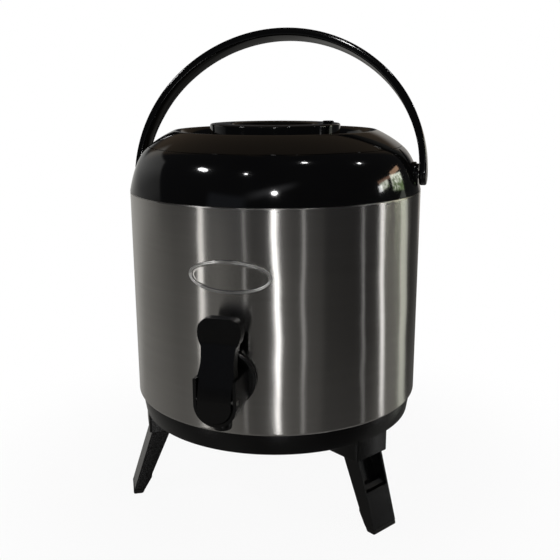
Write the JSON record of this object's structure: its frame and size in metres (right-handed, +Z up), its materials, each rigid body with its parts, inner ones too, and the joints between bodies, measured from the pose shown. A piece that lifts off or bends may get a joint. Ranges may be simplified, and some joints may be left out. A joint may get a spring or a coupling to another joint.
{
  "type": "insulated drink dispenser",
  "caption": "Round insulated drink barrel with a brushed steel body, black collar and lift-out lid, carrying bail, lever tap and folding legs.",
  "frame": {"origin": "on the barrel's axis at the floor under the feet", "axes": "+Z up along the barrel's axis, the tap faces -Y, the bail's axis is along X"},
  "size_m": [0.2708, 0.3098, 0.4245],
  "materials": {
    "shell_steel": "fine circumferential brushing",
    "liner_steel": "satin",
    "hardware": "plain turned steel",
    "badge_metal": "satin",
    "gloss_black": "high gloss",
    "satin_black": "satin",
    "white_plastic": "satin",
    "black_rubber": "matte",
    "silicone": "matte",
    "foam": "matte"
  },
  "bodies": {
    "barrel": {"outer_shell": "shell_steel", "inner_liner": "liner_steel", "liner_floor": "liner_steel", "insulation": "foam", "collar": "gloss_black", "liner_gasket": "silicone", "badge": "badge_metal", "base": "satin_black", "base_screws": "hardware", "bail_pivots": "hardware", "tap_body": "satin_black", "tap_gasket": "black_rubber", "tap_washer": "silicone", "tap_nut": "white_plastic", "tap_bonnet": "satin_black", "lever_pin": "hardware", "valve_spring": "hardware", "leg_pins": "hardware"},
    "bail_arm": {"bail": "gloss_black"},
    "lid": {"lid_cover": "gloss_black", "lid_pan": "white_plastic", "lid_core": "foam", "lid_gasket": "silicone"},
    "vent": {"vent_plug": "satin_black", "vent_seal": "silicone"},
    "lever": {"tap_lever": "satin_black"},
    "stem": {"valve_stem": "hardware", "valve_seal": "silicone"},
    "right_leg": {"leg_right": "satin_black", "foot_right": "black_rubber"},
    "left_leg": {"leg_left": "satin_black", "foot_left": "black_rubber"},
    "back_leg": {"leg_back": "satin_black", "foot_back": "black_rubber"}
  },
  "joints": [
    {"name": "bail_swing", "type": "hinge", "parent": "barrel", "child": "bail_arm", "pos_m": [0, 0, 0.299], "axis": [1, 0, 0], "range_deg": [-62.5, 95]},
    {"name": "lid_lift", "type": "slide", "parent": "barrel", "child": "lid", "axis": [0, 0, 1], "range_m": [0, 0.028]},
    {"name": "vent_pull", "type": "slide", "parent": "lid", "child": "vent", "axis": [0, 0, 1], "range_m": [0, 0.006]},
    {"name": "lever_pull", "type": "hinge", "parent": "barrel", "child": "lever", "pos_m": [0, -0.1635, 0.142], "axis": [1, 0, 0], "range_deg": [0, 15], "stiffness_Nm_per_rad": 0.004, "springref_deg": -14.32},
    {"name": "stem_lift", "type": "slide", "parent": "barrel", "child": "stem", "axis": [0, 0, 1], "range_m": [0, 0.00565], "stiffness_N_per_m": 20, "springref_m": -0.005, "deforming": ["valve_spring"]},
    {"name": "right_leg_fold", "type": "hinge", "parent": "barrel", "child": "right_leg", "pos_m": [0.09159, -0.05723, 0.075], "axis": [0.5299, 0.848, 0], "range_deg": [0, 105]},
    {"name": "left_leg_fold", "type": "hinge", "parent": "barrel", "child": "left_leg", "pos_m": [-0.09536, -0.0507, 0.075], "axis": [0.4695, -0.8829, 0], "range_deg": [0, 105]},
    {"name": "back_leg_fold", "type": "hinge", "parent": "barrel", "child": "back_leg", "pos_m": [0.00377, 0.10793, 0.075], "axis": [-0.9994, 0.0349, 0], "range_deg": [0, 105]}
  ],
  "couplings": [
    {"joint": "lever_pull", "follows": "stem_lift", "rad_per_m": 46.3}
  ]
}
